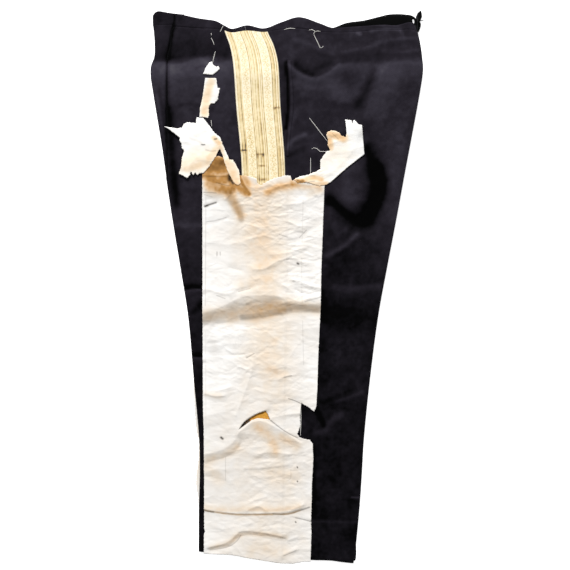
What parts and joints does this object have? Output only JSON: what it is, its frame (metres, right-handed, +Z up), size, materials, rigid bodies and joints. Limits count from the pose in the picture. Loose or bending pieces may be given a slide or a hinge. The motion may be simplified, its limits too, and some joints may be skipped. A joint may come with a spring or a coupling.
{
  "type": "folded dress uniform trousers",
  "caption": "Dark wool dress trousers folded lengthwise and laid flat, with a wide gold lace side stripe under a torn tissue paper cover",
  "frame": {"origin": "centre of the outline laid flat, on the surface that the garment rests on", "axes": "+Z up out of the surface, +Y from the hem toward the waist, +X from the fly side toward the seat side"},
  "size_m": [0.5171, 1.05, 0.029],
  "materials": {
    "wool_cloth": "dense dark blue-black wool cloth with a short nap",
    "waist_lining": "black cotton lining and tape",
    "gold_lace": "woven metal thread lace, ribbed, slightly tarnished",
    "tissue_paper": "thin crumpled tissue paper, yellowed and torn"
  },
  "bodies": {
    "root": {"hidden_layers": "wool_cloth", "front_panel": "wool_cloth", "back_panel": "wool_cloth", "fly_underlap": "wool_cloth", "waistband_front": "wool_cloth", "waistband_back": "wool_cloth", "waistband_underlap": "wool_cloth", "pocket_welt": "wool_cloth", "under_waist_lining": "waist_lining", "lacing_tape": "waist_lining", "gold_lace": "gold_lace", "paper_cover": "tissue_paper", "paper_flap_left": "tissue_paper", "paper_flap_right": "tissue_paper", "paper_strip_left": "tissue_paper", "paper_scrap": "tissue_paper", "under_leg_paper": "tissue_paper"}
  },
  "joints": []
}
